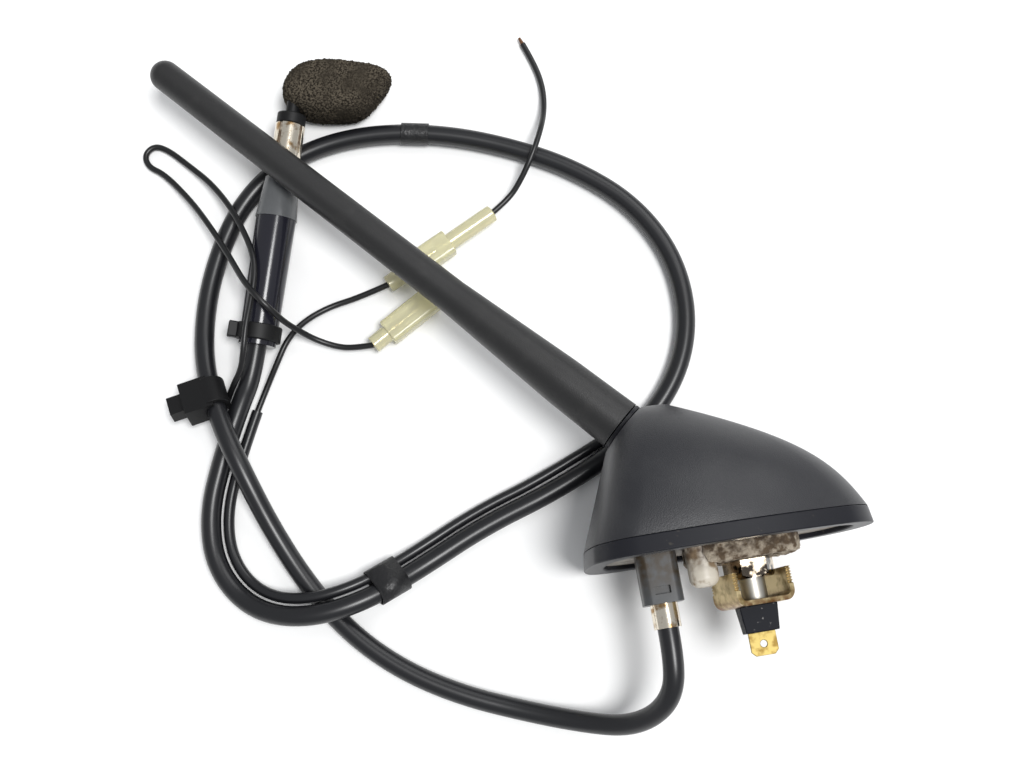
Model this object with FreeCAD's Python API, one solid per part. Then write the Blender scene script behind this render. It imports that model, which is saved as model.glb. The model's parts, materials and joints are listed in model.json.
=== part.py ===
"""Roof antenna of a car, lying on its side with its cable loose beside it.

The antenna is drawn upright, as it sits on a roof: X to the car's front, Z up
from the roof, origin at the centre of the seal's lip. It is then turned on its
side, so that the model's own +Z is up from the table. Millimetres.
"""
import FreeCAD, Part
import math
import os

V = FreeCAD.Vector
os.makedirs("parts", exist_ok=True)

# Base: teardrop outline, seen from above
base_length = 85.0
base_width = 56.0
widest_at = -19.0
nose_radius = 19.0
corner_radius = 14.0
rear_radius = 80.0

# Rim seal and base plate
rim_height = 5.1
rim_draft = 0.75
lip_width = 6.0
plate_gap = 0.2
plate_recess = 1.5

# Housing
crown_height = 45.0
crown_at = -11.0
ridge_bow = 10.5
rear_lean = 0.41
arch_power = 1.85
dome_shares = (0.0, 0.2, 0.42, 0.62, 0.8, 0.92, 0.985)
housing_wall = 2.2

# Mast and its seat
mast_rake = 47.8
seat_at = -23.4
seat_height = 39.3
mast_length = 188.0
foot_diameter = 15.6
foot_top_diameter = 14.8
foot_length = 22.0
flare_length = 42.0
shaft_diameter = 10.8
tip_diameter = 9.6
core_diameter = 4.0
core_tip_cover = 12.0
stud_barrel_length = 16.0
washer_thickness = 1.2
washer_gap = 0.3

# Screwed mast joint
thread_diameter = 5.0
thread_clearance = 0.05
thread_engaged = 9.0
socket_diameter = 9.0
socket_length = 13.0
boss_wall = 2.0
bore_run_out = 1.0

# Amplifier
board_length = 40.0
board_width = 27.0
board_thickness = 1.6
board_height = 9.0
board_front_inset = 16.5
standoff_diameter = 5.0
spring_width = 4.0
spring_thickness = 0.5
spring_reach = 3.0
spring_drop = 4.0
spring_foot = 6.0
spring_end_share = 0.45

# Cover screws
screw_front_inset = 12.5
screw_rear_inset = 11.5
screw_side_inset = 14.0
screw_diameter = 2.8
screw_head_diameter = 5.0
screw_head_height = 1.2
screw_length = 9.0
screw_boss_diameter = 6.4

# Clamp hardware under the base
post_from_outlet = 26.1
post_diameter = 8.0
pad_behind_post = 1.2
pad_length = 33.5
pad_width = 20.0
pad_thickness = 6.0
pad_round = 2.0
fit_gap = 0.1
nut_flats = 13.0
nut_height = 5.4
nut_turn = 4.0
bracket_length = 19.0
bracket_width = 14.0
bracket_height = 9.5
bracket_sheet = 1.5
bracket_bend = 1.5
bracket_turn = 20.0
bracket_bottom = -17.5
bracket_teeth = 6
tooth_depth = 0.9
holder_length = 11.0
holder_width = 8.0
holder_height = 7.6
holder_taper = 0.7
blade_width = 7.9
blade_thickness = 0.8
blade_length = 6.6
blade_hole = 2.0
blade_chamfer = 1.2
peg_behind_post = 13.9
peg_aside = -5.0
peg_diameter = 8.6
peg_end = -10.4

# Cable outlet under the base
outlet_rear_inset = 20.9
outlet_length = 11.7
outlet_width = 10.0
outlet_end = -12.8
outlet_round = 2.5
window_length = 4.6
window_height = 2.2
window_depth = 1.4
window_above_end = 2.6
ferrule_diameter = 8.0
ferrule_length = 7.0

# Rest on the table
side_tilt = 2.6

# Cables: routes are (x, y, height above the table)
coax_diameter = 6.2
strip_diameter = 3.4
wire_diameter = 1.9
arc_share = 0.45
coax_route = (
    (-23.5, -38.5, 26.5), (-29.0, -44.0, 20.5), (-37.5, -46.0, 13.5), (-49.0, -43.5, 6.6),
    (-65.0, -38.0, 3.2), (-84.0, -30.0, 3.2), (-101.0, -19.5, 3.2), (-115.0, -6.0, 3.2),
    (-126.0, 11.0, 3.2), (-134.0, 29.0, 5.5), (-139.5, 46.5, 10.8), (-144.5, 62.5, 10.8),
    (-149.0, 83.0, 4.0), (-146.5, 102.0, 3.2), (-140.0, 119.5, 3.2), (-130.5, 135.0, 3.2),
    (-117.5, 145.5, 3.2), (-101.0, 151.0, 3.3), (-82.0, 151.5, 3.7), (-61.0, 147.5, 3.7),
    (-41.0, 140.0, 3.2), (-22.0, 129.5, 3.2), (-5.0, 114.5, 3.2), (5.0, 94.5, 3.2),
    (5.5, 72.0, 3.2), (-4.0, 52.0, 3.2), (-23.0, 36.5, 3.2), (-46.0, 26.5, 3.2),
    (-69.0, 19.5, 3.2),
    (-91.0, 9.5, 4.2), (-109.0, 2.0, 10.8), (-128.0, 0.0, 10.8), (-144.0, 6.0, 4.2),
    (-153.0, 20.0, 3.2), (-153.0, 37.0, 3.2), (-146.5, 54.0, 3.2), (-139.0, 69.0, 4.4),
)
strip_route = (
    (-25.8, 41.1, 2.2), (-47.8, 31.5, 2.2), (-70.9, 24.5, 2.2), (-93.1, 14.4, 3.2),
    (-110.3, 7.2, 9.8), (-127.3, 5.4, 9.8), (-140.5, 10.3, 3.2), (-147.7, 21.6, 2.2),
    (-147.7, 36.0, 2.2), (-141.6, 51.9, 2.2), (-134.3, 66.6, 1.9),
)
clip_wire_route = (
    (-143.3, 71.0, 2.6), (-139.8, 74.8, 8.2), (-136.0, 78.7, 11.6), (-133.9, 84.0, 15.3),
    (-132.1, 91.5, 16.2), (-129.6, 99.2, 15.8), (-127.3, 106.8, 15.9), (-127.1, 113.7, 15.6),
    (-129.3, 121.6, 12.6), (-132.9, 131.5, 8.8), (-139.1, 142.8, 4.6), (-146.6, 151.5, 2.0),
    (-152.4, 157.8, 1.3), (-156.8, 160.2, 1.2), (-160.4, 157.6, 1.2), (-159.6, 153.2, 1.2),
    (-154.6, 149.8, 1.4), (-146.9, 138.8, 4.2), (-141.6, 129.1, 8.2), (-137.8, 121.0, 9.4),
    (-134.7, 114.0, 11.4), (-131.3, 105.9, 16.0), (-127.7, 99.8, 18.6), (-123.9, 94.9, 17.4),
    (-120.7, 91.4, 11.8), (-117.2, 89.0, 7.6), (-112.7, 86.1, 4.0), (-106.3, 83.0, 2.8),
    (-100.9, 81.7, 3.4),
)
bundle_wire_route = (
    (-130.4, 73.4, 2.6), (-125.6, 80.4, 5.6), (-121.4, 87.2, 6.4), (-115.6, 93.0, 3.6),
    (-107.0, 96.8, 1.8), (-97.4, 98.0, 2.6),
)
tail_wire_route = (
    (-44.6, 122.6, 3.8), (-40.0, 127.4, 6.4), (-35.4, 133.8, 9.2), (-31.4, 141.6, 9.2),
    (-28.4, 150.4, 3.2), (-27.2, 159.4, 1.3), (-28.6, 168.2, 1.3), (-31.4, 176.0, 1.3),
)
coax_lead = 10.0
plug_lead = 10.0
tape_runs = {"tape_front": 18, "tape_rear": 29}
tape_thickness = 0.4
tape_length = 9.0

# Plug, along its own axis from the cable end
plug_start = (-131.0, 86.5, 7.4)
plug_heading = 73.4
plug_rise = 3.7
sleeve_length = 41.0
sleeve_diameter = 11.8
sleeve_end_diameter = 12.6
collar_length = 13.0
collar_diameter = 13.2
collar_end_diameter = 10.6
barrel_diameter = 9.4
barrel_wall = 0.7
barrel_length = 18.0
barrel_slots = 4
slot_width = 1.3
slot_length = 9.0
ring_diameter = 9.2
ring_length = 3.6
neck_diameter = 4.4
neck_length = 7.0
pin_diameter = 2.6
pin_reach = 4.0
foam_outline = (
    (-112.0, 165.3), (-110.1, 173.8), (-101.7, 176.0), (-87.2, 173.6), (-78.3, 165.1),
    (-84.2, 156.2), (-97.9, 155.6), (-107.1, 160.4),
)
foam_height = 18.6
foam_round = 3.0
tie_width = 5.0
tie_thickness = 1.2
tie_at = 1.5
tie_head = 3.6

# Clip on the coax
clip_run = 11
clip_length = 9.0
clip_wall = 1.6
clip_block = (9.0, 11.0, 8.4)
clip_tongue = (4.6, 6.2, 5.0)

# Push-on connectors: start and heading
open_connector = ((-95.0, 81.5, 4.3), 30.0)
joined_connector = ((-87.5, 100.3, 4.3), 26.5)
socket_shell_length = 24.0
socket_shell_width = 8.4
socket_shell_height = 6.2
pin_shell_length = 22.0
pin_shell_diameter = 5.6
neck_share = 0.25
shell_lap = 5.0
terminal_diameter = 3.4

half_width = base_width / 2.0
half_length = base_length / 2.0
outlet_at = outlet_rear_inset - half_length
post_at = outlet_at + post_from_outlet
pad_at = post_at - pad_behind_post
peg_at = (post_at - peg_behind_post, peg_aside)
board_at = half_length - board_front_inset - board_length / 2
screw_rear = screw_rear_inset - half_length
screw_side = half_width - screw_side_inset
screw_places = ((half_length - screw_front_inset, 0.0), (screw_rear, screw_side), (screw_rear, -screw_side))
table = -half_width * math.cos(math.radians(side_tilt))
lie_down = FreeCAD.Placement(V(0, 0, 0), FreeCAD.Rotation(V(1, 0, 0), -90.0 - side_tilt))
mast_axis = V(-math.cos(math.radians(mast_rake)), 0, math.sin(math.radians(mast_rake)))
seat = V(seat_at, 0, seat_height)

# Slack in picking edges by their place
edge_slack = 0.01


def save(name, shape):
    """Write one finished piece."""
    shape.exportStep("parts/%s.step" % name)
    print(name, "valid" if shape.isValid() else "INVALID", "%.0f mm3" % shape.Volume)


def save_lying(name, shape):
    """Turn a piece drawn upright onto the table, and write it."""
    turned = shape.copy()
    turned.Placement = lie_down.multiply(turned.Placement)
    save(name, turned)


def circle_meet(first, first_radius, second, second_radius):
    """Crossing point of two circles with y above zero."""
    gap = second - first
    along = (gap.Length ** 2 + first_radius ** 2 - second_radius ** 2) / (2 * gap.Length)
    across = math.sqrt(first_radius ** 2 - along ** 2)
    unit = gap * (1.0 / gap.Length)
    side = V(-unit.y, unit.x, 0)
    if side.y < 0:
        side = side * -1
    return first + unit * along + side * across


def toward(start, end, length):
    """Point at a given distance from start, towards end."""
    step = end - start
    return start + step * (length / step.Length)


def teardrop(rear, front, half, level):
    """Closed outline of tangent arcs: rear arc, corners, sides and nose."""
    share = half / half_width
    nose = nose_radius * share
    corner = corner_radius * share
    back = rear_radius * share
    wide = rear + (widest_at + base_length / 2) / base_length * (front - rear)
    reach = front - nose - wide
    side = (reach ** 2 + half ** 2 - nose ** 2) / (2 * (half - nose))
    nose_centre = V(front - nose, 0, 0)
    side_centre = V(wide, half - side, 0)
    back_centre = V(rear + back, 0, 0)
    corner_centre = circle_meet(back_centre, back - corner, side_centre, side - corner)
    nose_join = toward(side_centre, nose_centre, side)
    corner_front = toward(side_centre, corner_centre, side)
    corner_back = toward(back_centre, corner_centre, back)
    corner_middle = toward(corner_centre, (corner_front + corner_back) * 0.5, corner)
    side_middle = toward(side_centre, (nose_join + corner_front) * 0.5, side)

    def flip(point):
        return V(point.x, -point.y, 0)

    stops = [
        (nose_join, V(front, 0, 0), flip(nose_join)),
        (flip(nose_join), flip(side_middle), flip(corner_front)),
        (flip(corner_front), flip(corner_middle), flip(corner_back)),
        (flip(corner_back), V(rear, 0, 0), corner_back),
        (corner_back, corner_middle, corner_front),
        (corner_front, side_middle, nose_join),
    ]
    wire = Part.Wire([Part.Arc(*stop).toShape() for stop in stops])
    wire.translate(V(0, 0, level))
    return wire


def base_outline(inset, level):
    """Outline of the base, moved in by an even margin."""
    return teardrop(inset - base_length / 2, base_length / 2 - inset, half_width - inset, level)


def slab(inset, low, high):
    """Flat plate with the outline of the base."""
    return Part.Face(base_outline(inset, low)).extrude(V(0, 0, high - low))


def rod(start, direction, diameter, length):
    """Round bar."""
    return Part.makeCylinder(diameter / 2, length, start, direction)


def dome(inset):
    """Cover volume as stacked teardrops, moved in by the wall."""
    foot_rear = rim_draft - base_length / 2 + inset
    foot_front = base_length / 2 - rim_draft - inset
    top = crown_height - inset
    rise = top - rim_height
    slices = []
    for share in dome_shares:
        level = rim_height + share * rise
        rear = foot_rear + rear_lean * share * rise
        front = crown_at + (foot_front - crown_at) * (1 - share) + ridge_bow * math.sin(math.pi * share)
        half = (half_width - rim_draft - inset) * (1 - share ** arch_power) ** (1 / arch_power)
        slices.append(teardrop(rear, front, half, level))
    return Part.makeLoft(slices, True, False)


def above_seat():
    """Half space beyond the oblique seat of the mast."""
    size = 2 * base_length
    block = Part.makeBox(size, size, size, V(-size / 2, -size / 2, 0))
    block.Placement = FreeCAD.Placement(seat, FreeCAD.Rotation(V(0, 0, 1), mast_axis))
    return block


def housing():
    """Moulded cover with the boss of the mast socket and the screw bosses."""
    outside = dome(0.0).cut(above_seat())
    inside = dome(housing_wall)
    skin = above_seat()
    skin.translate(mast_axis * -housing_wall)
    shell = outside.cut(inside.cut(skin))
    boss = rod(seat, mast_axis * -1, socket_diameter + 2 * boss_wall, socket_length)
    posts = []
    for x, y in screw_places:
        posts.append(rod(V(x, y, rim_height), V(0, 0, 1), screw_boss_diameter, base_length))
    bosses = boss.fuse(posts).common(outside)
    shell = shell.fuse(bosses)
    holes = [rod(seat, mast_axis * -1, socket_diameter, socket_length)]
    for x, y in screw_places:
        depth = screw_length - (rim_height - plate_recess - screw_head_height)
        holes.append(rod(V(x, y, rim_height), V(0, 0, 1), screw_diameter, depth))
    return shell.cut(holes).removeSplitter()


def rim_seal():
    """Rubber band with a drafted outside and a flat lip."""
    outside = Part.makeLoft([base_outline(0.0, 0.0), base_outline(rim_draft, rim_height)], True, True)
    return outside.cut(slab(lip_width, 0.0, rim_height))


def base_plate():
    """Plate inside the seal, with stand-offs for the board and holes for the hardware."""
    plate = slab(lip_width + plate_gap, plate_recess, rim_height)
    standoffs = []
    along = board_length / 2 - standoff_diameter
    across = board_width / 2 - standoff_diameter
    for end in (-1, 1):
        for side in (-1, 1):
            place = V(board_at + end * along, side * across, rim_height)
            standoffs.append(rod(place, V(0, 0, 1), standoff_diameter, board_height - rim_height))
    plate = plate.fuse(standoffs)
    holes = [rod(V(post_at, 0, 0), V(0, 0, 1), post_diameter, rim_height)]
    for x, y in screw_places:
        holes.append(rod(V(x, y, 0), V(0, 0, 1), screw_diameter, rim_height))
        holes.append(rod(V(x, y, 0), V(0, 0, 1), screw_head_diameter, plate_recess + screw_head_height))
    return plate.cut(holes)


def cover_screws():
    """Screws that hold the plate to the housing."""
    screws = []
    for x, y in screw_places:
        head_top = plate_recess + screw_head_height
        head = rod(V(x, y, plate_recess), V(0, 0, 1), screw_head_diameter, screw_head_height)
        screws.append(head.fuse(rod(V(x, y, head_top), V(0, 0, 1), screw_diameter, screw_length)))
    return Part.makeCompound(screws)


def mast_socket():
    """Threaded insert, open at the seat."""
    body = rod(seat, mast_axis * -1, socket_diameter, socket_length)
    bore = rod(seat, mast_axis * -1, thread_diameter + 2 * thread_clearance, thread_engaged + bore_run_out)
    return body.cut(bore)


def contact_spring():
    """Bent strip from the inner end of the insert to the board."""
    touch = seat - mast_axis * socket_length
    board_top = board_height + board_thickness
    upright = touch.x + spring_reach
    corner = V(upright, 0, touch.z - spring_drop)
    foot_end = upright + spring_foot
    outer = [touch, corner, V(upright, 0, board_top), V(foot_end, 0, board_top)]
    t = spring_thickness
    inner = [
        V(foot_end, 0, board_top + t),
        V(upright + t, 0, board_top + t),
        V(upright + t, 0, corner.z + t),
        touch + V(t, 0, spring_end_share * t),
    ]
    face = Part.Face(Part.makePolygon(outer + inner + [outer[0]]))
    strip = face.extrude(V(0, spring_width, 0))
    strip.translate(V(0, -spring_width / 2, 0))
    return strip


def circuit_board():
    """Amplifier board on the stand-offs."""
    corner = V(board_at - board_length / 2, -board_width / 2, board_height)
    return Part.makeBox(board_length, board_width, board_thickness, corner)


def prism(points, height, level):
    """Upright prism on a polygon."""
    ring = [V(x, y, level) for x, y in points]
    return Part.Face(Part.makePolygon(ring + ring[:1])).extrude(V(0, 0, height))


def clamp_post():
    """Threaded post from the plate to the web of the claw."""
    end = bracket_bottom + bracket_sheet
    return rod(V(post_at, 0, end), V(0, 0, 1), post_diameter, rim_height - end)


def foam_pad():
    """Foam strip under the plate, pierced by the post and the peg."""
    pad = Part.makeBox(pad_length, pad_width, pad_thickness)
    upright = [e for e in pad.Edges if abs(e.Vertexes[0].Z - e.Vertexes[1].Z) > pad_thickness / 2]
    pad = pad.makeFillet(pad_width / 3, upright)
    pad = pad.makeFillet(pad_round, [e for e in pad.Edges if e.BoundBox.ZMax < pad_thickness / 4])
    pad.translate(V(pad_at - pad_length / 2, -pad_width / 2, plate_recess - pad_thickness))
    deep = V(0, 0, -base_length)
    bores = []
    for x, y, diameter in ((post_at, 0, post_diameter), peg_at + (peg_diameter,)):
        bores.append(rod(V(x, y, 0) + deep, V(0, 0, 1), diameter + 2 * fit_gap, 2 * base_length))
    return pad.cut(bores)


def hexagon(flats, turn):
    """Corners of a hexagon about the origin."""
    reach = flats / math.sqrt(3)
    angles = [math.radians(turn + 60 * step) for step in range(6)]
    return [(reach * math.cos(angle), reach * math.sin(angle)) for angle in angles]


def clamp_nut():
    """Chamfered hex nut on the post, against the pad."""
    top = plate_recess - pad_thickness
    nut = prism(hexagon(nut_flats, nut_turn), nut_height, 0)
    bevel = Part.makeCone(nut_flats / 2, nut_flats / 2 + 2 * nut_height, 2 * nut_height)
    nut = nut.common(bevel)
    nut = nut.cut(rod(V(0, 0, 0), V(0, 0, 1), post_diameter, nut_height))
    nut.translate(V(post_at, 0, top - nut_height))
    return nut


def clamp_bracket():
    """Folded steel claw: a web with two upright arms, toothed along their edges."""
    half = bracket_length / 2
    deep = bracket_width / 2
    outer = Part.makeBox(bracket_length, bracket_width, bracket_height, V(-half, -deep, 0))
    bends = [e for e in outer.Edges if e.BoundBox.ZMax < edge_slack and e.BoundBox.XLength < edge_slack]
    outer = outer.makeFillet(bracket_bend + bracket_sheet, bends)
    inner = Part.makeBox(bracket_length - 2 * bracket_sheet, bracket_width, bracket_height,
                         V(bracket_sheet - half, -deep, bracket_sheet))
    floor = bracket_sheet + edge_slack
    bends = [e for e in inner.Edges if e.BoundBox.ZMax < floor and e.BoundBox.XLength < edge_slack]
    inner = inner.makeFillet(bracket_bend, bends)
    claw = outer.cut(inner)
    foot = bracket_bend + 2 * bracket_sheet
    pitch = (bracket_height - foot) / bracket_teeth
    notches = []
    for side in (-1, 1):
        edge = side * deep
        tip = edge - side * tooth_depth
        for tooth in range(bracket_teeth):
            low = foot + tooth * pitch
            corners = [V(-half, edge, low), V(-half, tip, low + pitch / 2), V(-half, edge, low + pitch)]
            notch = Part.Face(Part.makePolygon(corners + corners[:1])).extrude(V(bracket_length, 0, 0))
            notches.append(notch)
    claw = claw.cut(notches)
    claw.rotate(V(0, 0, 0), V(0, 0, 1), bracket_turn)
    claw.translate(V(post_at, 0, bracket_bottom))
    return claw


def terminal_holder():
    """Tapered insulator under the claw."""
    def ring(inset, level):
        x = holder_length / 2 - inset
        y = holder_width / 2 - inset
        corners = [V(-x, -y, level), V(x, -y, level), V(x, y, level), V(-x, y, level)]
        return Part.makePolygon(corners + corners[:1])

    block = Part.makeLoft([ring(0, 0), ring(holder_taper, -holder_height)], True, True)
    block.translate(V(post_at, 0, bracket_bottom))
    return block


def blade_tab():
    """Brass blade with a chamfered end and a locking hole."""
    half = blade_width / 2
    tip = -blade_length
    corners = [
        V(-half, 0, 0), V(half, 0, 0), V(half, 0, tip + blade_chamfer),
        V(half - blade_chamfer, 0, tip), V(blade_chamfer - half, 0, tip), V(-half, 0, tip + blade_chamfer),
    ]
    blade = Part.Face(Part.makePolygon(corners + corners[:1])).extrude(V(0, blade_thickness, 0))
    blade = blade.cut(rod(V(0, 0, tip / 2), V(0, 1, 0), blade_hole, blade_thickness))
    blade.translate(V(post_at, -blade_thickness / 2, bracket_bottom - holder_height))
    return blade


def locating_peg():
    """Round-ended peg beside the claw."""
    x, y = peg_at
    length = plate_recess - peg_end
    peg = rod(V(x, y, peg_end), V(0, 0, 1), peg_diameter, length)
    end = [e for e in peg.Edges if e.BoundBox.ZMax < peg_end + edge_slack]
    return peg.makeFillet(peg_diameter / 3, end)


def cable_outlet():
    """Outlet with rounded corners and a latch window."""
    low = V(outlet_at - outlet_length / 2, -outlet_width / 2, outlet_end)
    block = Part.makeBox(outlet_length, outlet_width, plate_recess - outlet_end, low)
    upright = [e for e in block.Edges if e.BoundBox.ZLength > outlet_length / 2]
    block = block.makeFillet(outlet_round, upright)
    window = Part.makeBox(window_length, window_depth, window_height,
                          V(outlet_at - window_length / 2, -outlet_width / 2, outlet_end + window_above_end))
    return block.cut(window)


def crimp_ferrule():
    """Metal sleeve on the end of the coax."""
    return rod(V(outlet_at, 0, outlet_end - ferrule_length), V(0, 0, 1), ferrule_diameter, ferrule_length)


def on_mast(shape):
    """Place a piece drawn along Z from the seat onto the mast axis."""
    shape.Placement = FreeCAD.Placement(seat, FreeCAD.Rotation(V(0, 0, 1), mast_axis))
    return shape


mast_foot = washer_thickness + 2 * washer_gap
stud_top = mast_foot + stud_barrel_length


def mast():
    """Rubber sheath: cylinder foot, flare, slender shaft and round tip."""
    flare_start = mast_foot + foot_length
    flare_end = flare_start + flare_length
    tip_radius = tip_diameter / 2
    tip_start = mast_length - tip_radius
    bow = math.sin(math.radians(45))
    edges = [
        Part.LineSegment(V(0, 0, mast_foot), V(foot_diameter / 2, 0, mast_foot)),
        Part.LineSegment(V(foot_diameter / 2, 0, mast_foot), V(foot_top_diameter / 2, 0, flare_start)),
        Part.LineSegment(V(foot_top_diameter / 2, 0, flare_start), V(shaft_diameter / 2, 0, flare_end)),
        Part.LineSegment(V(shaft_diameter / 2, 0, flare_end), V(tip_radius, 0, tip_start)),
        Part.Arc(V(tip_radius, 0, tip_start), V(tip_radius * bow, 0, tip_start + tip_radius * bow),
                 V(0, 0, mast_length)),
        Part.LineSegment(V(0, 0, mast_length), V(0, 0, mast_foot)),
    ]
    profile = Part.Face(Part.Wire([edge.toShape() for edge in edges]))
    sheath = profile.revolve(V(0, 0, 0), V(0, 0, 1), 360)
    bores = [rod(V(0, 0, mast_foot), V(0, 0, 1), 2 * core_diameter, stud_top - mast_foot),
             rod(V(0, 0, stud_top), V(0, 0, 1), core_diameter, mast_length - core_tip_cover - stud_top)]
    return on_mast(sheath.cut(bores))


def mast_core():
    """Conductor inside the sheath."""
    length = mast_length - core_tip_cover - stud_top
    return on_mast(rod(V(0, 0, stud_top), V(0, 0, 1), core_diameter, length))


def mast_stud():
    """Threaded stud with the barrel that the sheath is moulded on."""
    barrel = rod(V(0, 0, mast_foot), V(0, 0, 1), 2 * core_diameter, stud_top - mast_foot)
    thread = rod(V(0, 0, -thread_engaged), V(0, 0, 1), thread_diameter, thread_engaged + mast_foot)
    return on_mast(barrel.fuse(thread))


def mast_washer():
    """Sealing washer under the mast foot."""
    ring = rod(V(0, 0, washer_gap), V(0, 0, 1), foot_diameter, washer_thickness)
    hole = rod(V(0, 0, 0), V(0, 0, 1), thread_diameter + 2 * washer_gap, mast_foot)
    return on_mast(ring.cut(hole))


def on_table(place):
    """Point given by its height above the table."""
    return V(place[0], place[1], table + place[2])


def tube(name, points, diameter):
    """Round cord along straight runs and tangent arcs, as large as the runs allow."""
    edges = []
    radii = []
    last = points[0]
    for before, here, after in zip(points, points[1:], points[2:]):
        back = before - here
        ahead = after - here
        turn = math.pi - back.getAngle(ahead)
        cut = arc_share * min(back.Length, ahead.Length)
        radius = cut / math.tan(turn / 2)
        start = toward(here, before, cut)
        end = toward(here, after, cut)
        sagitta = radius * (1 / math.cos(turn / 2) - 1)
        middle = toward(here, (start + end) * 0.5, sagitta)
        edges.append(Part.LineSegment(last, start).toShape())
        edges.append(Part.Arc(start, middle, end).toShape())
        last = end
        radii.append(radius)
    edges.append(Part.LineSegment(last, points[-1]).toShape())
    path = Part.Wire(edges)
    section = Part.Wire(Part.makeCircle(diameter / 2, points[0], points[1] - points[0]))
    solid = path.makePipeShell([section], True, False)
    ideal = path.Length * math.pi * diameter ** 2 / 4
    print(name, "length %.0f" % path.Length, "volume share %.4f" % (solid.Volume / ideal),
          "smallest radii", ["%.0f" % radius for radius in sorted(radii)[:4]])
    return solid


plug_flat = math.cos(math.radians(plug_rise))
plug_axis = V(math.cos(math.radians(plug_heading)) * plug_flat,
              math.sin(math.radians(plug_heading)) * plug_flat,
              math.sin(math.radians(plug_rise)))
plug_origin = on_table(plug_start)
coax_exit = lie_down.multVec(V(outlet_at, 0, outlet_end - ferrule_length))
coax_away = lie_down.Rotation.multVec(V(0, 0, -1))
coax_points = [coax_exit, coax_exit + coax_away * coax_lead]
coax_points += [on_table(place) for place in coax_route]
coax_points += [plug_origin - plug_axis * plug_lead, plug_origin]
route_start = 2


def along_plug(start, diameter, length, end_diameter=None):
    """Round piece of the plug, by its distance from the cable end."""
    place = plug_origin + plug_axis * start
    if end_diameter is None:
        return Part.makeCylinder(diameter / 2, length, place, plug_axis)
    return Part.makeCone(diameter / 2, end_diameter / 2, length, place, plug_axis)


collar_start = sleeve_length
barrel_start = collar_start + collar_length
ring_start = barrel_start + barrel_length
neck_start = ring_start + ring_length
pin_end = neck_start + neck_length + pin_reach


def plug_barrel():
    """Slotted metal barrel."""
    barrel = along_plug(barrel_start, barrel_diameter, barrel_length)
    barrel = barrel.cut(along_plug(barrel_start, barrel_diameter - 2 * barrel_wall, barrel_length))
    place = plug_origin + plug_axis * (ring_start - slot_length)
    on_plug = FreeCAD.Placement(place, FreeCAD.Rotation(V(0, 0, 1), plug_axis))
    slots = []
    for step in range(barrel_slots):
        slot = Part.makeBox(barrel_diameter, slot_width, slot_length, V(0, -slot_width / 2, 0))
        slot.rotate(V(0, 0, 0), V(0, 0, 1), 360.0 / barrel_slots * (step + 0.5))
        slot.Placement = on_plug.multiply(slot.Placement)
        slots.append(slot)
    return barrel.cut(slots)


def foam_wrap():
    """Lump of foam pushed over the neck and pin of the plug."""
    block = prism(foam_outline, foam_height, table + fit_gap)
    block = block.makeFillet(foam_round, block.Edges)
    bores = [along_plug(neck_start, neck_diameter + 2 * fit_gap, neck_length),
             along_plug(neck_start, pin_diameter + 2 * fit_gap, pin_end - neck_start),
             along_plug(barrel_start, collar_diameter, neck_start - barrel_start)]
    return block.cut(bores)


def cable_tie():
    """Band round the cable end of the sleeve, with its head."""
    inner = sleeve_diameter + (sleeve_end_diameter - sleeve_diameter) * (tie_at + tie_width) / sleeve_length
    band = along_plug(tie_at, inner + 2 * tie_thickness, tie_width)
    head = Part.makeBox(tie_head, tie_head, tie_width, V(inner / 2, -tie_head / 2, 0))
    place = plug_origin + plug_axis * tie_at
    turn = FreeCAD.Rotation(V(0, 0, 1), plug_axis)
    head.rotate(V(0, 0, 0), V(0, 0, 1), 180.0)
    head.Placement = FreeCAD.Placement(place, turn).multiply(head.Placement)
    return band.fuse(head).cut(along_plug(tie_at, inner, tie_width)).removeSplitter()


def run_frame(index, side):
    """Frame at the middle of a run of the coax: Z along it, X as near to side as it can be."""
    start = coax_points[route_start + index]
    end = coax_points[route_start + index + 1]
    rotation = FreeCAD.Rotation(side, V(0, 0, 0), end - start, "ZXY")
    return FreeCAD.Placement((start + end) * 0.5, rotation)


def tape_wrap(index):
    """Turn of tape on the coax."""
    wrap = rod(V(0, 0, -tape_length / 2), V(0, 0, 1), coax_diameter + 2 * tape_thickness, tape_length)
    wrap = wrap.cut(rod(V(0, 0, -tape_length / 2), V(0, 0, 1), coax_diameter, tape_length))
    wrap.Placement = run_frame(index, V(0, 0, 1))
    return wrap


def cable_clip():
    """Nylon clip: a ring on the coax, a block and a tongue beside it."""
    ring_radius = coax_diameter / 2 + clip_wall
    clip = rod(V(0, 0, -clip_length / 2), V(0, 0, 1), 2 * ring_radius, clip_length)
    across, tall, deep = clip_block
    clip = clip.fuse(Part.makeBox(across, deep, tall, V(0, -deep / 2, -tall / 2)))
    reach, height, thick = clip_tongue
    clip = clip.fuse(Part.makeBox(reach, thick, height, V(across, -thick / 2, -height / 2)))
    clip = clip.cut(rod(V(0, 0, -base_length), V(0, 0, 1), coax_diameter, 2 * base_length))
    clip.Placement = run_frame(clip_run, V(-1, 0, 0))
    return clip.removeSplitter()


def along_connector(connector, shape):
    """Place a piece drawn along X at a connector."""
    place, heading = connector
    shape.Placement = FreeCAD.Placement(on_table(place), FreeCAD.Rotation(V(0, 0, 1), heading))
    return shape


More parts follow.
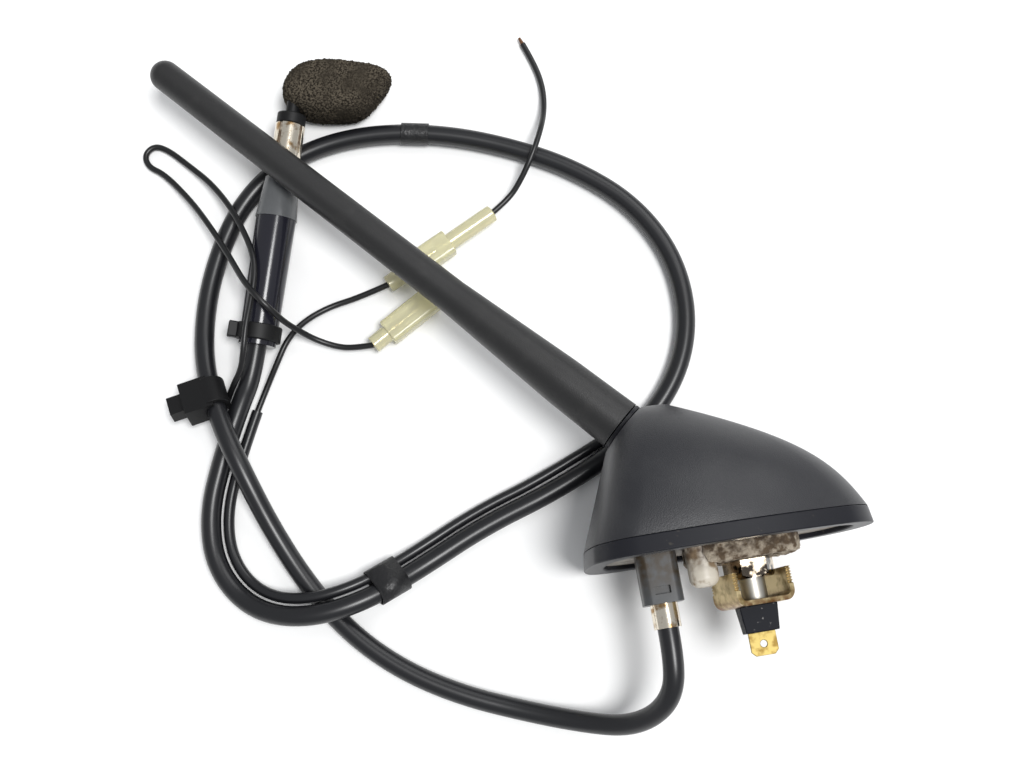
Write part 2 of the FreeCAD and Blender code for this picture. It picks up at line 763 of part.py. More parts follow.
def socket_shell(connector):
    """Sleeve with a neck at its wire end, open at the other."""
    neck = pin_shell_diameter / 2
    outside = rod(V(0, 0, 0), V(1, 0, 0), pin_shell_diameter, socket_shell_length / 2)
    neck_run = socket_shell_length * neck_share
    body = Part.makeBox(socket_shell_length - neck_run, socket_shell_width, socket_shell_height,
                        V(neck_run, -socket_shell_width / 2, -socket_shell_height / 2))
    body = body.makeFillet(socket_shell_height / 4, [e for e in body.Edges if e.BoundBox.XLength > neck])
    shell = outside.fuse(body)
    shell = shell.cut(rod(V(0, 0, 0), V(1, 0, 0), terminal_diameter, socket_shell_length))
    mouth = rod(V(socket_shell_length - shell_lap, 0, 0), V(1, 0, 0), pin_shell_diameter, shell_lap)
    return along_connector(connector, shell.cut(mouth).removeSplitter())


def pin_shell(connector):
    """Round sleeve pushed into the mouth of a socket sleeve."""
    start = socket_shell_length - shell_lap
    shell = rod(V(start, 0, 0), V(1, 0, 0), pin_shell_diameter, pin_shell_length)
    bore = rod(V(start, 0, 0), V(1, 0, 0), terminal_diameter, pin_shell_length)
    return along_connector(connector, shell.cut(bore))


def terminal(connector, length):
    """Metal terminal inside the sleeves."""
    return along_connector(connector, rod(V(0, 0, 0), V(1, 0, 0), terminal_diameter, length))


save_lying("housing", housing())
save_lying("rim_seal", rim_seal())
save_lying("base_plate", base_plate())
save_lying("cover_screws", cover_screws())
save_lying("mast_socket", mast_socket())
save_lying("contact_spring", contact_spring())
save_lying("circuit_board", circuit_board())
save_lying("clamp_post", clamp_post())
save_lying("foam_pad", foam_pad())
save_lying("clamp_nut", clamp_nut())
save_lying("clamp_bracket", clamp_bracket())
save_lying("terminal_holder", terminal_holder())
save_lying("blade_tab", blade_tab())
save_lying("locating_peg", locating_peg())
save_lying("cable_outlet", cable_outlet())
save_lying("crimp_ferrule", crimp_ferrule())
save_lying("mast", mast())
save_lying("mast_core", mast_core())
save_lying("mast_stud", mast_stud())
save_lying("mast_washer", mast_washer())

strip_points = [on_table(place) for place in strip_route]
clip_wire_end = on_table(open_connector[0])
bundle_wire_end = on_table(joined_connector[0])
joined_heading = math.radians(joined_connector[1])
joined_length = socket_shell_length + pin_shell_length - shell_lap
tail_start = bundle_wire_end + V(math.cos(joined_heading), math.sin(joined_heading), 0) * joined_length
cords = (
    ("coax", coax_points, coax_diameter),
    ("lead_strip", strip_points, strip_diameter),
    ("clip_wire", [on_table(place) for place in clip_wire_route] + [clip_wire_end], wire_diameter),
    ("bundle_wire", strip_points[-1:] + [on_table(place) for place in bundle_wire_route] + [bundle_wire_end],
     wire_diameter),
    ("tail_wire", [tail_start] + [on_table(place) for place in tail_wire_route], wire_diameter),
)
for cord_name, cord_points, cord_diameter in cords:
    save(cord_name, tube(cord_name, cord_points, cord_diameter))

inner_bore = along_plug(barrel_start, pin_diameter, pin_end - barrel_start)
save("plug_sleeve", along_plug(0, sleeve_diameter, sleeve_length, sleeve_end_diameter))
save("plug_collar", along_plug(collar_start, collar_diameter, collar_length, collar_end_diameter))
save("plug_barrel", plug_barrel())
barrel_bore = along_plug(barrel_start, barrel_diameter - 2 * barrel_wall, barrel_length)
save("plug_insulator", barrel_bore.cut(inner_bore))
save("plug_ring", along_plug(ring_start, ring_diameter, ring_length).cut(inner_bore))
save("plug_neck", along_plug(neck_start, neck_diameter, neck_length).cut(inner_bore))
save("plug_pin", inner_bore)
save("foam_wrap", foam_wrap())
save("cable_tie", cable_tie())
save("cable_clip", cable_clip())
for tape_name, tape_run in tape_runs.items():
    save(tape_name, tape_wrap(tape_run))
save("open_socket_shell", socket_shell(open_connector))
save("open_terminal", terminal(open_connector, socket_shell_length - shell_lap))
save("joined_socket_shell", socket_shell(joined_connector))
save("joined_pin_shell", pin_shell(joined_connector))
save("joined_terminal", terminal(joined_connector, joined_length))
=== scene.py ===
"""Looks of a roof antenna lying on a pale table. Metres, in the frame of the solids."""
import json
import math

import bmesh
import bpy
from mathutils import Matrix, Vector


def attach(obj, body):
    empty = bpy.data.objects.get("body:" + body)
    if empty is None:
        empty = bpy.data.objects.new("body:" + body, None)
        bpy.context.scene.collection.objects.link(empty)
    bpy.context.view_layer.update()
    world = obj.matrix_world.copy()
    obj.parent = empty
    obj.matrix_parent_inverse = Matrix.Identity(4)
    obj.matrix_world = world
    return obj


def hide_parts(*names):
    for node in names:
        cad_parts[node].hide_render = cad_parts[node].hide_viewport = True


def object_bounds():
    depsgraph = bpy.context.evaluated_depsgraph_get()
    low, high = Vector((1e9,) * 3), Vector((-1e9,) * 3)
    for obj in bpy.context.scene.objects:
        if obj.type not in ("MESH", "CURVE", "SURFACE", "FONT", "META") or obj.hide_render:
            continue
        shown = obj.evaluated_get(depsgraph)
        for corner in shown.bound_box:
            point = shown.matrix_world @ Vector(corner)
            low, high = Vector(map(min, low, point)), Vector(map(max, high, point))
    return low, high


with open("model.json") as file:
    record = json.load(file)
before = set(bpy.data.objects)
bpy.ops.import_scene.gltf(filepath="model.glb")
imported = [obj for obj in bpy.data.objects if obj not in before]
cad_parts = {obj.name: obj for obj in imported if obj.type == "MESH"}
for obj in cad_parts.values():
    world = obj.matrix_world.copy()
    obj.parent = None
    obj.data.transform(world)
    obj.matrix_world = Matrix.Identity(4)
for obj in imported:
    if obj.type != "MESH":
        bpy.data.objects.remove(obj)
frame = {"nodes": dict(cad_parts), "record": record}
cad_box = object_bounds()

MM = 0.001
TABLE = cad_box[0][2]

# Camera, fitted to the photograph: millimetres in the part's frame
CAMERA_AT = (-65.33, -10.40, 375.27)
CAMERA_AIM = (-53.42, 62.78, -27.97)
CAMERA_RIGHT = (0.987, -0.1607, 0.0)
SENSOR_WIDTH = 36.0
LENS = 45.18
NEAREST = 10.0

# Cords: (x, y, height above the table), the same points as the solids follow
COAX_DIAMETER = 6.2
STRIP_DIAMETER = 3.4
WIRE_DIAMETER = 1.9
COAX_ROUTE = (
    (-23.5, -38.5, 26.5), (-29.0, -44.0, 20.5), (-37.5, -46.0, 13.5), (-49.0, -43.5, 6.6),
    (-65.0, -38.0, 3.2), (-84.0, -30.0, 3.2), (-101.0, -19.5, 3.2), (-115.0, -6.0, 3.2),
    (-126.0, 11.0, 3.2), (-134.0, 29.0, 5.5), (-139.5, 46.5, 10.8), (-144.5, 62.5, 10.8),
    (-149.0, 83.0, 4.0), (-146.5, 102.0, 3.2), (-140.0, 119.5, 3.2), (-130.5, 135.0, 3.2),
    (-117.5, 145.5, 3.2), (-101.0, 151.0, 3.3), (-82.0, 151.5, 3.7), (-61.0, 147.5, 3.7),
    (-41.0, 140.0, 3.2), (-22.0, 129.5, 3.2), (-5.0, 114.5, 3.2), (5.0, 94.5, 3.2),
    (5.5, 72.0, 3.2), (-4.0, 52.0, 3.2), (-23.0, 36.5, 3.2), (-46.0, 26.5, 3.2),
    (-69.0, 19.5, 3.2),
    (-91.0, 9.5, 4.2), (-109.0, 2.0, 10.8), (-128.0, 0.0, 10.8), (-144.0, 6.0, 4.2),
    (-153.0, 20.0, 3.2), (-153.0, 37.0, 3.2), (-146.5, 54.0, 3.2), (-139.0, 69.0, 4.4),
)
STRIP_ROUTE = (
    (-25.8, 41.1, 2.2), (-47.8, 31.5, 2.2), (-70.9, 24.5, 2.2), (-93.1, 14.4, 3.2),
    (-110.3, 7.2, 9.8), (-127.3, 5.4, 9.8), (-140.5, 10.3, 3.2), (-147.7, 21.6, 2.2),
    (-147.7, 36.0, 2.2), (-141.6, 51.9, 2.2), (-134.3, 66.6, 1.9),
)
CLIP_WIRE_ROUTE = (
    (-143.3, 71.0, 2.6), (-139.8, 74.8, 8.2), (-136.0, 78.7, 11.6), (-133.9, 84.0, 15.3),
    (-132.1, 91.5, 16.2), (-129.6, 99.2, 15.8), (-127.3, 106.8, 15.9), (-127.1, 113.7, 15.6),
    (-129.3, 121.6, 12.6), (-132.9, 131.5, 8.8), (-139.1, 142.8, 4.6), (-146.6, 151.5, 2.0),
    (-152.4, 157.8, 1.3), (-156.8, 160.2, 1.2), (-160.4, 157.6, 1.2), (-159.6, 153.2, 1.2),
    (-154.6, 149.8, 1.4), (-146.9, 138.8, 4.2), (-141.6, 129.1, 8.2), (-137.8, 121.0, 9.4),
    (-134.7, 114.0, 11.4), (-131.3, 105.9, 16.0), (-127.7, 99.8, 18.6), (-123.9, 94.9, 17.4),
    (-120.7, 91.4, 11.8), (-117.2, 89.0, 7.6), (-112.7, 86.1, 4.0), (-106.3, 83.0, 2.8),
    (-100.9, 81.7, 3.4),
    (-95.0, 81.5, 4.3),
)
BUNDLE_WIRE_ROUTE = (
    (-134.3, 66.6, 1.9), (-130.4, 73.4, 2.6), (-125.6, 80.4, 5.6), (-121.4, 87.2, 6.4),
    (-115.6, 93.0, 3.6), (-107.0, 96.8, 1.8), (-97.4, 98.0, 2.6), (-87.5, 100.3, 4.3),
)
JOINED_START = (-87.5, 100.3, 4.3)
JOINED_HEADING = math.radians(26.5)
JOINED_LENGTH = 41.0
TAIL_WIRE_ROUTE = (
    (-44.6, 122.6, 3.8), (-40.0, 127.4, 6.4), (-35.4, 133.8, 9.2), (-31.4, 141.6, 9.2),
    (-28.4, 150.4, 3.2), (-27.2, 159.4, 1.3), (-28.6, 168.2, 1.3), (-31.4, 176.0, 1.3),
)
SIDE_TILT = math.radians(2.6)
COAX_EXIT = (-21.6, -19.8)
COAX_LEAD = 10.0
PLUG_START = (-131.0, 86.5, 7.4)
PLUG_HEADING = math.radians(73.4)
PLUG_RISE = math.radians(3.7)
PLUG_LEAD = 10.0

# Tape round the coax and the strip, on these runs of their points
TAPE_LENGTH = 10.0
TAPE_THICKNESS = 0.4
TAPE_SIDES = 48
REAR_TAPE_RUN = 31
STRIP_TAPE_RUN = 3

# Foam on the plug: outline on the table, then (share of height, share of size)
FOAM_OUTLINE = (
    (-113.0, 166.0), (-111.5, 161.5), (-106.5, 158.0), (-96.5, 155.8), (-86.5, 155.0), (-81.5, 160.0),
    (-71.5, 169.0), (-84.0, 173.2), (-93.0, 176.0), (-100.5, 177.0), (-107.0, 176.0), (-112.0, 171.5),
)
FOAM_LEVELS = ((0.01, 0.8), (0.1, 0.93), (0.5, 1.0), (0.85, 0.9), (0.99, 0.68))
FOAM_HEIGHT = 18.6

# Skin of the foam: voxel, then (cell, depth) of the pad and of the foam on the plug
FOAM_VOXEL = 0.35
FOAM_OCTAVES = 2
FOAM_MIDDLE = 0.8
FOAM_ROUNDING = 2
PAD_CELLS = (1.4, 1.0)
WRAP_CELLS = (0.6, 1.5)

# Bare end of the tail wire
TIP_DIAMETER = 1.4
TIP_LENGTH = 3.0
TIP_SUNK = 0.6
TIP_TAPER = 2 / 3
TIP_SIDES = 20

# Shading of the dressed solids
WELD = 0.001
SMOOTH_BELOW = math.radians(30.0)
BEVEL_ABOVE = math.radians(35.0)
BEVEL_STEPS = 2
NOISE_DETAIL = 4.0
RAG_LOW = 0.3
RAG_HIGH = 0.6

# Fineness of the cords
CORD_SIDES = 6
CORD_STEPS = 10
CORD_ORDER = 3

# Stage: metres, watts for the fill, watts per square metre for the key
FLOOR_HALF = 30.0
FLOOR_COLOR = (0.95, 0.95, 0.945)
SKY_COLOR = (0.95, 0.97, 1.0)
SKY_STRENGTH = 0.46
LIGHT_AIM = (-0.05, 0.06, 0.0)
KEY_AT = (0.25, -0.1, 1.1)
KEY_WIDTH = math.radians(21.0)
KEY_STRENGTH = 2.4
FILL_AT = (0.5, 0.6, 0.7)
FILL_SIZE = 0.6
FILL_POWER = 2.6


def on_table(place):
    """Route point in metres, from millimetres and a height above the table."""
    return Vector((place[0] * MM, place[1] * MM, TABLE + place[2] * MM))


def shader(name, color, rough, metallic=0.0, transmission=0.0, gloss=0.5):
    """Material of one colour."""
    material = bpy.data.materials.new(name)
    material.use_nodes = True
    main = material.node_tree.nodes["Principled BSDF"]
    main.inputs["Base Color"].default_value = (*color, 1.0)
    main.inputs["Roughness"].default_value = rough
    main.inputs["Metallic"].default_value = metallic
    main.inputs["Specular IOR Level"].default_value = gloss
    main.inputs["Transmission Weight"].default_value = transmission
    return material


def noise(tree, grain):
    """Noise in the part's frame, with features of about the given size in millimetres."""
    place = tree.nodes.new("ShaderNodeTexCoord")
    node = tree.nodes.new("ShaderNodeTexNoise")
    node.inputs["Scale"].default_value = 1.0 / (grain * MM)
    node.inputs["Detail"].default_value = NOISE_DETAIL
    tree.links.new(place.outputs["Object"], node.inputs["Vector"])
    return node.outputs["Fac"]


def ramp(tree, value, low, high):
    """Value stretched from low..high to 0..1."""
    node = tree.nodes.new("ShaderNodeMapRange")
    node.inputs["From Min"].default_value = low
    node.inputs["From Max"].default_value = high
    tree.links.new(value, node.inputs["Value"])
    return node.outputs["Result"]


def tint(material, factor, color):
    """Blend a colour over the material where factor is high."""
    tree = material.node_tree
    main = tree.nodes["Principled BSDF"]
    mix = tree.nodes.new("ShaderNodeMix")
    mix.data_type = "RGBA"
    base = main.inputs["Base Color"]
    if base.is_linked:
        tree.links.new(base.links[0].from_socket, mix.inputs["A"])
    else:
        mix.inputs["A"].default_value = base.default_value
    mix.inputs["B"].default_value = (*color, 1.0)
    tree.links.new(factor, mix.inputs["Factor"])
    tree.links.new(mix.outputs["Result"], base)


def grained(material, grain, depth):
    """Fine surface relief; both sizes in millimetres."""
    tree = material.node_tree
    bump = tree.nodes.new("ShaderNodeBump")
    bump.inputs["Distance"].default_value = depth * MM
    tree.links.new(noise(tree, grain), bump.inputs["Height"])
    tree.links.new(bump.outputs["Normal"], tree.nodes["Principled BSDF"].inputs["Normal"])


def stains_and_painted_shade(material, color, grain, low, high):
    """Patches of another colour: stains, and on the nut painted shade."""
    tint(material, ramp(material.node_tree, noise(material.node_tree, grain), low, high), color)


def graded(material, color, start, stop, grain):
    """Colour that comes in along Y from start to stop, in millimetres, with a ragged edge."""
    tree = material.node_tree
    place = tree.nodes.new("ShaderNodeTexCoord")
    split = tree.nodes.new("ShaderNodeSeparateXYZ")
    tree.links.new(place.outputs["Object"], split.inputs["Vector"])
    along = ramp(tree, split.outputs["Y"], start * MM, stop * MM)
    rag = ramp(tree, noise(tree, grain), RAG_LOW, RAG_HIGH)
    both = tree.nodes.new("ShaderNodeMath")
    both.operation = "MULTIPLY"
    tree.links.new(along, both.inputs[0])
    tree.links.new(rag, both.inputs[1])
    tint(material, both.outputs["Value"], color)


housing_plastic = shader("housing_plastic", (0.0165, 0.017, 0.0205), 0.4)
grained(housing_plastic, 0.32, 0.075)
stains_and_painted_shade(housing_plastic, (0.026, 0.0265, 0.0295), 14.0, 0.45, 0.8)

rim_rubber = shader("rim_rubber", (0.009, 0.0095, 0.0135), 0.4, gloss=0.3)
stains_and_painted_shade(rim_rubber, (0.08, 0.07, 0.055), 2.0, 0.66, 0.85)

plate_metal = shader("plate_metal", (0.3, 0.28, 0.25), 0.6)
stains_and_painted_shade(plate_metal, (0.13, 0.1, 0.07), 3.0, 0.38, 0.72)

mast_rubber = shader("mast_rubber", (0.014, 0.0138, 0.014), 0.42)
grained(mast_rubber, 0.32, 0.075)
stains_and_painted_shade(mast_rubber, (0.022, 0.0215, 0.021), 6.0, 0.55, 0.85)

outlet_plastic = shader("outlet_plastic", (0.062, 0.065, 0.068), 0.36, gloss=0.35)
graded(outlet_plastic, (0.04, 0.028, 0.016), -11.0, -4.0, 2.5)

tin = shader("tin", (0.82, 0.75, 0.63), 0.17, metallic=1.0)
stains_and_painted_shade(tin, (0.36, 0.23, 0.11), 2.6, 0.5, 0.66)

steel = shader("steel", (0.5, 0.48, 0.43), 0.42, metallic=1.0)

nut_zinc = shader("nut_zinc", (0.8, 0.68, 0.52), 0.2, metallic=1.0)
# painted shade: near-black patches on the nut stand in for the shade on its facets
stains_and_painted_shade(nut_zinc, (0.02, 0.017, 0.014), 6.0, 0.5, 0.57)

bracket_zinc = shader("bracket_zinc", (0.62, 0.5, 0.28), 0.33, metallic=0.85)
stains_and_painted_shade(bracket_zinc, (0.2, 0.14, 0.05), 4.5, 0.46, 0.62)
# painted reflection: dark brown comes in towards the bracket's bottom web, in place of the brownish light
# it reflects
graded(bracket_zinc, (0.16, 0.065, 0.02), -13.5, -17.5, 1.5)
grained(bracket_zinc, 0.8, 0.08)

brass = shader("brass", (0.37, 0.285, 0.1), 0.5, metallic=1.0)
stains_and_painted_shade(brass, (0.2, 0.13, 0.035), 2.2, 0.46, 0.66)

pale_plastic = shader("pale_plastic", (0.62, 0.57, 0.48), 0.4)
stains_and_painted_shade(pale_plastic, (0.24, 0.17, 0.1), 3.5, 0.46, 0.62)
graded(pale_plastic, (0.1, 0.065, 0.04), -6.0, -1.0, 2.0)

dirty_foam = shader("dirty_foam", (0.42, 0.36, 0.28), 0.95)
stains_and_painted_shade(dirty_foam, (0.11, 0.075, 0.045), 2.6, 0.44, 0.6)
graded(dirty_foam, (0.05, 0.034, 0.022), -3.5, 1.0, 2.0)
grained(dirty_foam, 0.6, 0.5)

grey_foam = shader("grey_foam", (0.11, 0.093, 0.069), 0.95, gloss=0.1)
stains_and_painted_shade(grey_foam, (0.018, 0.0148, 0.0112), 0.6, 0.42, 0.58)
stains_and_painted_shade(grey_foam, (0.04, 0.0335, 0.025), 9.0, 0.45, 0.65)
grained(grey_foam, 0.35, 0.4)

black_nylon = shader("black_nylon", (0.006, 0.006, 0.0065), 0.5, gloss=0.25)
holder_plastic = shader("holder_plastic", (0.006, 0.007, 0.011), 0.5, gloss=0.1)
stains_and_painted_shade(holder_plastic, (0.3, 0.29, 0.28), 1.8, 0.64, 0.72)

cable_pvc = shader("cable_pvc", (0.009, 0.0093, 0.011), 0.32)
wire_pvc = shader("wire_pvc", (0.006, 0.006, 0.0066), 0.36)
gloss_sleeve = shader("gloss_sleeve", (0.012, 0.012, 0.018), 0.16)
clear_collar = shader("clear_collar", (0.12, 0.125, 0.13), 0.25, transmission=0.2)
clear_shell = shader("clear_shell", (0.94, 0.9, 0.6), 0.22, transmission=0.5)
tape = shader("tape", (0.01, 0.01, 0.011), 0.4)
grained(tape, 1.2, 0.3)
board = shader("board", (0.03, 0.16, 0.06), 0.4)
bare_wire = shader("bare_wire", (0.16, 0.075, 0.035), 0.5, metallic=0.6)

bodies = frame["record"]["behaviour"]["bodies"]
body_of_node = {node: body for body, nodes in bodies.items() for node in nodes}


def stand_in(piece, node):
    """Show a piece in place of a solid, on the solid's body."""
    bpy.context.scene.collection.objects.link(piece)
    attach(piece, body_of_node[node])
    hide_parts(node)
    return piece


def dress(node, material, bevel=0.0):
    """Stand-in for a solid with clean shading, its material and softened edges, in millimetres."""
    shape = bmesh.new()
    shape.from_mesh(frame["nodes"][node].data)
    bmesh.ops.remove_doubles(shape, verts=shape.verts, dist=WELD * MM)
    shape.verts.ensure_lookup_table()
    points = [vertex.co.copy() for vertex in shape.verts]
    faces = [[vertex.index for vertex in face.verts] for face in shape.faces]
    shape.free()
    mesh = bpy.data.meshes.new(node + "_look")
    mesh.from_pydata(points, [], faces)
    mesh.materials.append(material)
    mesh.shade_smooth()
    mesh.set_sharp_from_angle(angle=SMOOTH_BELOW)
    piece = bpy.data.objects.new(node + "_look", mesh)
    if bevel:
        soften = piece.modifiers.new("edges", "BEVEL")
        soften.width = bevel * MM
        soften.segments = BEVEL_STEPS
        soften.limit_method = "ANGLE"
        soften.angle_limit = BEVEL_ABOVE
    return stand_in(piece, node)


def lump(node, outline, levels, height, material):
    """Soft block: rings of one outline at several levels, each shrunk about its middle."""
    middle = sum((Vector(corner) for corner in outline), Vector((0.0, 0.0))) / len(outline)
    points = []
    for level, share in levels:
        corners = [middle + (Vector(corner) - middle) * share for corner in outline]
        points += [on_table((corner.x, corner.y, level * height)) for corner in corners]
    count = len(outline)
    top = len(points) - count
    faces = [tuple(reversed(range(count))), tuple(range(top, top + count))]
    for low in range(0, top, count):
        for side in range(count):
            ahead = (side + 1) % count
            faces.append((low + side, low + ahead, low + count + ahead, low + count + side))
    mesh = bpy.data.meshes.new(node + "_look")
    mesh.from_pydata(points, [], faces)
    mesh.materials.append(material)
    piece = bpy.data.objects.new(node + "_look", mesh)
    rounding = piece.modifiers.new("rounding", "SUBSURF")
    rounding.levels = FOAM_ROUNDING
    rounding.render_levels = FOAM_ROUNDING
    return stand_in(piece, node)


def foamed(piece, cells_of):
    """Sink cells into the skin of a piece, by their size and depth in millimetres."""
    cell, depth = cells_of
    skin = piece.modifiers.new("skin", "REMESH")
    skin.mode = "VOXEL"
    skin.voxel_size = FOAM_VOXEL * MM
    skin.use_smooth_shade = True
    pattern = bpy.data.textures.new(piece.name + "_cells", "CLOUDS")
    pattern.noise_scale = cell * MM
    pattern.noise_depth = FOAM_OCTAVES
    cells = piece.modifiers.new("cells", "DISPLACE")
    cells.texture = pattern
    cells.texture_coords = "LOCAL"
    cells.strength = depth * MM
    cells.mid_level = FOAM_MIDDLE
    return piece


def cord(name, points, diameter, material):
    """Round cord along its route points."""
    curve = bpy.data.curves.new(name + "_look", "CURVE")
    curve.dimensions = "3D"
    curve.bevel_depth = diameter / 2 * MM
    curve.bevel_resolution = CORD_SIDES
    curve.resolution_u = CORD_STEPS
    curve.use_fill_caps = True
    spline = curve.splines.new("NURBS")
    spline.points.add(len(points) - 1)
    for knot, point in zip(spline.points, points):
        knot.co = (*point, 1.0)
    spline.order_u = CORD_ORDER
    spline.use_endpoint_u = True
    curve.materials.append(material)
    return stand_in(bpy.data.objects.new(name + "_look", curve), name)


LOOKS = {
    "housing": (housing_plastic, 0.0), "rim_seal": (rim_rubber, 0.4), "base_plate": (plate_metal, 0.3),
    "cover_screws": (steel, 0.2), "mast_socket": (tin, 0.2), "contact_spring": (brass, 0.0),
    "circuit_board": (board, 0.0), "clamp_post": (steel, 0.2), "clamp_nut": (nut_zinc, 0.25),
    "clamp_bracket": (bracket_zinc, 0.15), "terminal_holder": (holder_plastic, 0.5),
    "blade_tab": (brass, 0.15), "locating_peg": (pale_plastic, 0.2), "cable_outlet": (outlet_plastic, 0.3),
    "crimp_ferrule": (tin, 0.4), "mast": (mast_rubber, 0.4), "mast_core": (steel, 0.0),
    "mast_stud": (steel, 0.2), "mast_washer": (rim_rubber, 0.2), "plug_sleeve": (gloss_sleeve, 0.8),
    "plug_collar": (clear_collar, 0.5), "plug_barrel": (tin, 0.15), "plug_insulator": (pale_plastic, 0.0),
    "plug_ring": (black_nylon, 0.4), "plug_neck": (black_nylon, 0.2), "plug_pin": (brass, 0.2),
    "cable_tie": (black_nylon, 0.3), "cable_clip": (black_nylon, 0.4), "tape_front": (tape, 0.15),
    "open_socket_shell": (clear_shell, 0.4), "open_terminal": (tin, 0.2),
    "joined_socket_shell": (clear_shell, 0.4), "joined_pin_shell": (clear_shell, 0.4),
    "joined_terminal": (tin, 0.2),
}
look = {node: dress(node, material, bevel) for node, (material, bevel) in LOOKS.items()}
look["foam_pad"] = foamed(dress("foam_pad", dirty_foam), PAD_CELLS)
foam_wrap = lump("foam_wrap", FOAM_OUTLINE, FOAM_LEVELS, FOAM_HEIGHT, grey_foam)
look["foam_wrap"] = foamed(foam_wrap, WRAP_CELLS)

exit_along, exit_down = COAX_EXIT
coax_exit = Vector((exit_along, exit_down * math.cos(SIDE_TILT), -exit_down * math.sin(SIDE_TILT))) * MM
coax_away = Vector((0.0, -math.cos(SIDE_TILT), math.sin(SIDE_TILT)))
plug_axis = Vector((
    math.cos(PLUG_HEADING) * math.cos(PLUG_RISE),
    math.sin(PLUG_HEADING) * math.cos(PLUG_RISE),
    math.sin(PLUG_RISE),
))
plug_start = on_table(PLUG_START)
coax_points = [coax_exit, coax_exit + coax_away * COAX_LEAD * MM]
coax_points += [on_table(place) for place in COAX_ROUTE]
coax_points += [plug_start - plug_axis * PLUG_LEAD * MM, plug_start]
strip_points = [on_table(place) for place in STRIP_ROUTE]
clip_wire_points = [on_table(place) for place in CLIP_WIRE_ROUTE]
bundle_wire_points = [on_table(place) for place in BUNDLE_WIRE_ROUTE]
joined_axis = Vector((math.cos(JOINED_HEADING), math.sin(JOINED_HEADING), 0.0))
tail_start = on_table(JOINED_START) + joined_axis * JOINED_LENGTH * MM
tail_wire_points = [tail_start] + [on_table(place) for place in TAIL_WIRE_ROUTE]

coax = cord("coax", coax_points, COAX_DIAMETER, cable_pvc)
strip = cord("lead_strip", strip_points, STRIP_DIAMETER, cable_pvc)
clip_wire = cord("clip_wire", clip_wire_points, WIRE_DIAMETER, wire_pvc)
bundle_wire = cord("bundle_wire", bundle_wire_points, WIRE_DIAMETER, wire_pvc)
tail_wire = cord("tail_wire", tail_wire_points, WIRE_DIAMETER, wire_pvc)


def taped(node, strands, run, length, material):
    """Tape round strands, given as centre and radius, drawn out along the run."""
    ahead = run.normalized()
    aside = (strands[1][0] - strands[0][0]).cross(ahead).normalized()
    across = ahead.cross(aside)
    ring = []
    for step in range(TAPE_SIDES):
        angle = 2 * math.pi * step / TAPE_SIDES
        out = across * math.cos(angle) + aside * math.sin(angle)
        centre, radius = max(strands, key=lambda strand: strand[0].dot(out) + strand[1])
        flat = centre - ahead * (centre - strands[0][0]).dot(ahead)
        ring.append(flat + out * (radius + TAPE_THICKNESS * MM))
    points = [point + ahead * (end * length * MM) for end in (-0.5, 0.5) for point in ring]
    faces = []
    for side in range(TAPE_SIDES):
        beyond = (side + 1) % TAPE_SIDES
        faces.append((side, beyond, beyond + TAPE_SIDES, side + TAPE_SIDES))
    mesh = bpy.data.meshes.new(node + "_look")
    mesh.from_pydata(points, [], faces)
    mesh.materials.append(material)
    mesh.shade_smooth()
    piece = bpy.data.objects.new(node + "_look", mesh)
    wall = piece.modifiers.new("wall", "SOLIDIFY")
    wall.thickness = TAPE_THICKNESS * MM
    return stand_in(piece, node)


tape_start, tape_end = coax_points[REAR_TAPE_RUN:REAR_TAPE_RUN + 2]
strip_start, strip_end = strip_points[STRIP_TAPE_RUN:STRIP_TAPE_RUN + 2]
strands = (
    ((tape_start + tape_end) / 2, COAX_DIAMETER / 2 * MM),
    ((strip_start + strip_end) / 2, STRIP_DIAMETER / 2 * MM),
)
look["tape_rear"] = taped("tape_rear", strands, tape_end - tape_start, TAPE_LENGTH, tape)


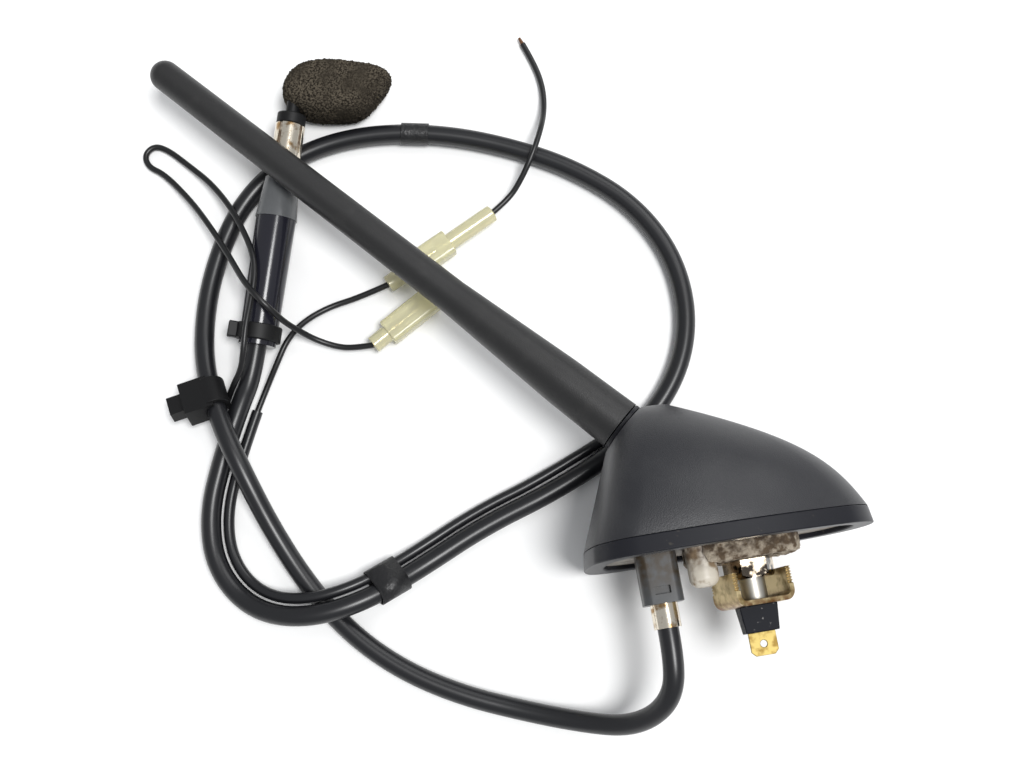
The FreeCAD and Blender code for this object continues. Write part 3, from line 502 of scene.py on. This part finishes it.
def bare_end(name, points, diameter, length):
    """Bare conductor standing out of the end of a cord."""
    ahead = (points[-1] - points[-2]).normalized()
    shape = bmesh.new()
    radius = diameter / 2 * MM
    bmesh.ops.create_cone(shape, cap_ends=True, segments=TIP_SIDES, radius1=radius,
                          radius2=radius * TIP_TAPER, depth=length * MM)
    mesh = bpy.data.meshes.new(name)
    shape.to_mesh(mesh)
    shape.free()
    mesh.materials.append(bare_wire)
    piece = bpy.data.objects.new(name, mesh)
    piece.rotation_euler = ahead.to_track_quat("Z", "Y").to_euler()
    piece.location = points[-1] + ahead * (length / 2 - TIP_SUNK) * MM
    bpy.context.scene.collection.objects.link(piece)
    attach(piece, "base")
    return piece


tail_tip = bare_end("tail_tip", tail_wire_points, TIP_DIAMETER, TIP_LENGTH)

# Stage
floor_mesh = bpy.data.meshes.new("floor")
corners = ((-1, -1), (1, -1), (1, 1), (-1, 1))
floor_mesh.from_pydata([(x * FLOOR_HALF, y * FLOOR_HALF, TABLE) for x, y in corners], [], [(0, 1, 2, 3)])
floor_mesh.materials.append(shader("floor", FLOOR_COLOR, 0.8, gloss=0.1))
floor = bpy.data.objects.new("floor", floor_mesh)
bpy.context.scene.collection.objects.link(floor)

world = bpy.data.worlds.new("studio")
world.use_nodes = True
sky = world.node_tree.nodes["Background"]
sky.inputs["Color"].default_value = (*SKY_COLOR, 1.0)
sky.inputs["Strength"].default_value = SKY_STRENGTH
bpy.context.scene.world = world
bpy.context.scene.view_settings.view_transform = "Standard"


def light(name, kind, place):
    """Light at a place, aimed at the part; returns its data."""
    lamp = bpy.data.lights.new(name, kind)
    piece = bpy.data.objects.new(name, lamp)
    piece.location = place
    piece.rotation_euler = (Vector(LIGHT_AIM) - Vector(place)).to_track_quat("-Z", "Y").to_euler()
    bpy.context.scene.collection.objects.link(piece)
    return lamp


key = light("key", "SUN", KEY_AT)
key.angle = KEY_WIDTH
key.energy = KEY_STRENGTH
fill = light("fill", "AREA", FILL_AT)
fill.size = FILL_SIZE
fill.energy = FILL_POWER

camera = bpy.data.cameras.new("camera")
camera.sensor_width = SENSOR_WIDTH
camera.lens = LENS
camera.clip_start = NEAREST * MM
eye = bpy.data.objects.new("camera", camera)
bpy.context.scene.collection.objects.link(eye)
back = (Vector(CAMERA_AT) - Vector(CAMERA_AIM)).normalized()
right = Vector(CAMERA_RIGHT).normalized()
up = back.cross(right)
turn = Matrix((right, up, back)).transposed().to_4x4()
eye.matrix_world = Matrix.Translation(Vector(CAMERA_AT) * MM) @ turn
bpy.context.scene.camera = eye
